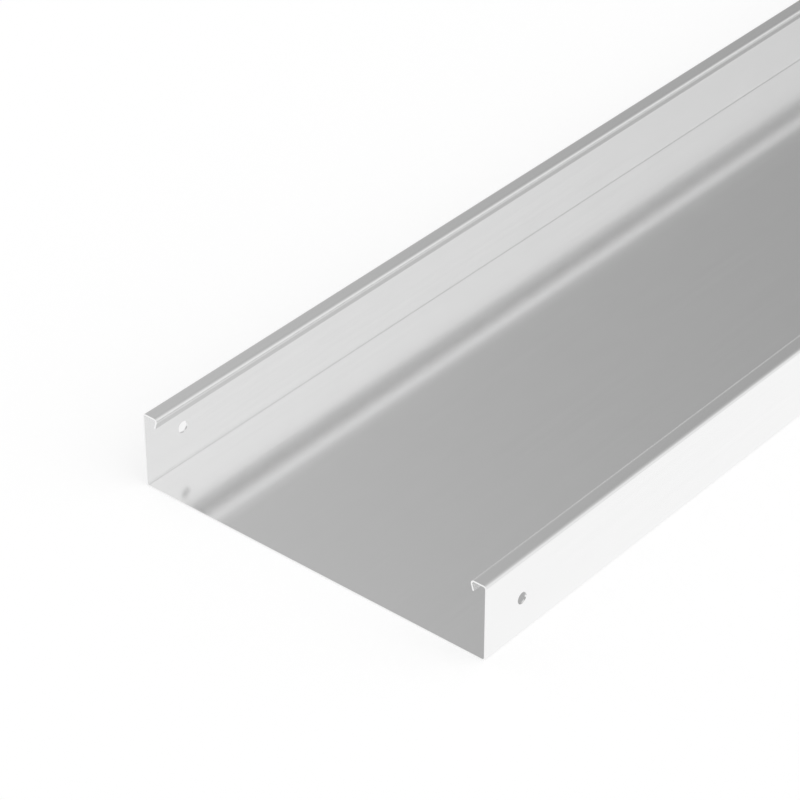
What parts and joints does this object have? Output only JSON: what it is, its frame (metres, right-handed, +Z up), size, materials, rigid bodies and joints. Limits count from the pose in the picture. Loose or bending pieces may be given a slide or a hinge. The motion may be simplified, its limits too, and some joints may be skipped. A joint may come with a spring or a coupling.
{
  "type": "cable trunking",
  "caption": "Straight length of open sheet-steel cable trunking with a flat floor, upright walls, inward flanges with turned-down lips, and a bolt hole through each wall near each end.",
  "frame": {"origin": "middle of the underside of the floor", "axes": "+Y along the length, X across the width, +Z up out of the open side"},
  "size_m": [0.3026, 3, 0.0613],
  "materials": {
    "galvanised_steel": "smooth galvanised sheet steel with a soft sheen"
  },
  "bodies": {
    "root": {"trunking_body": "galvanised_steel"}
  },
  "joints": []
}
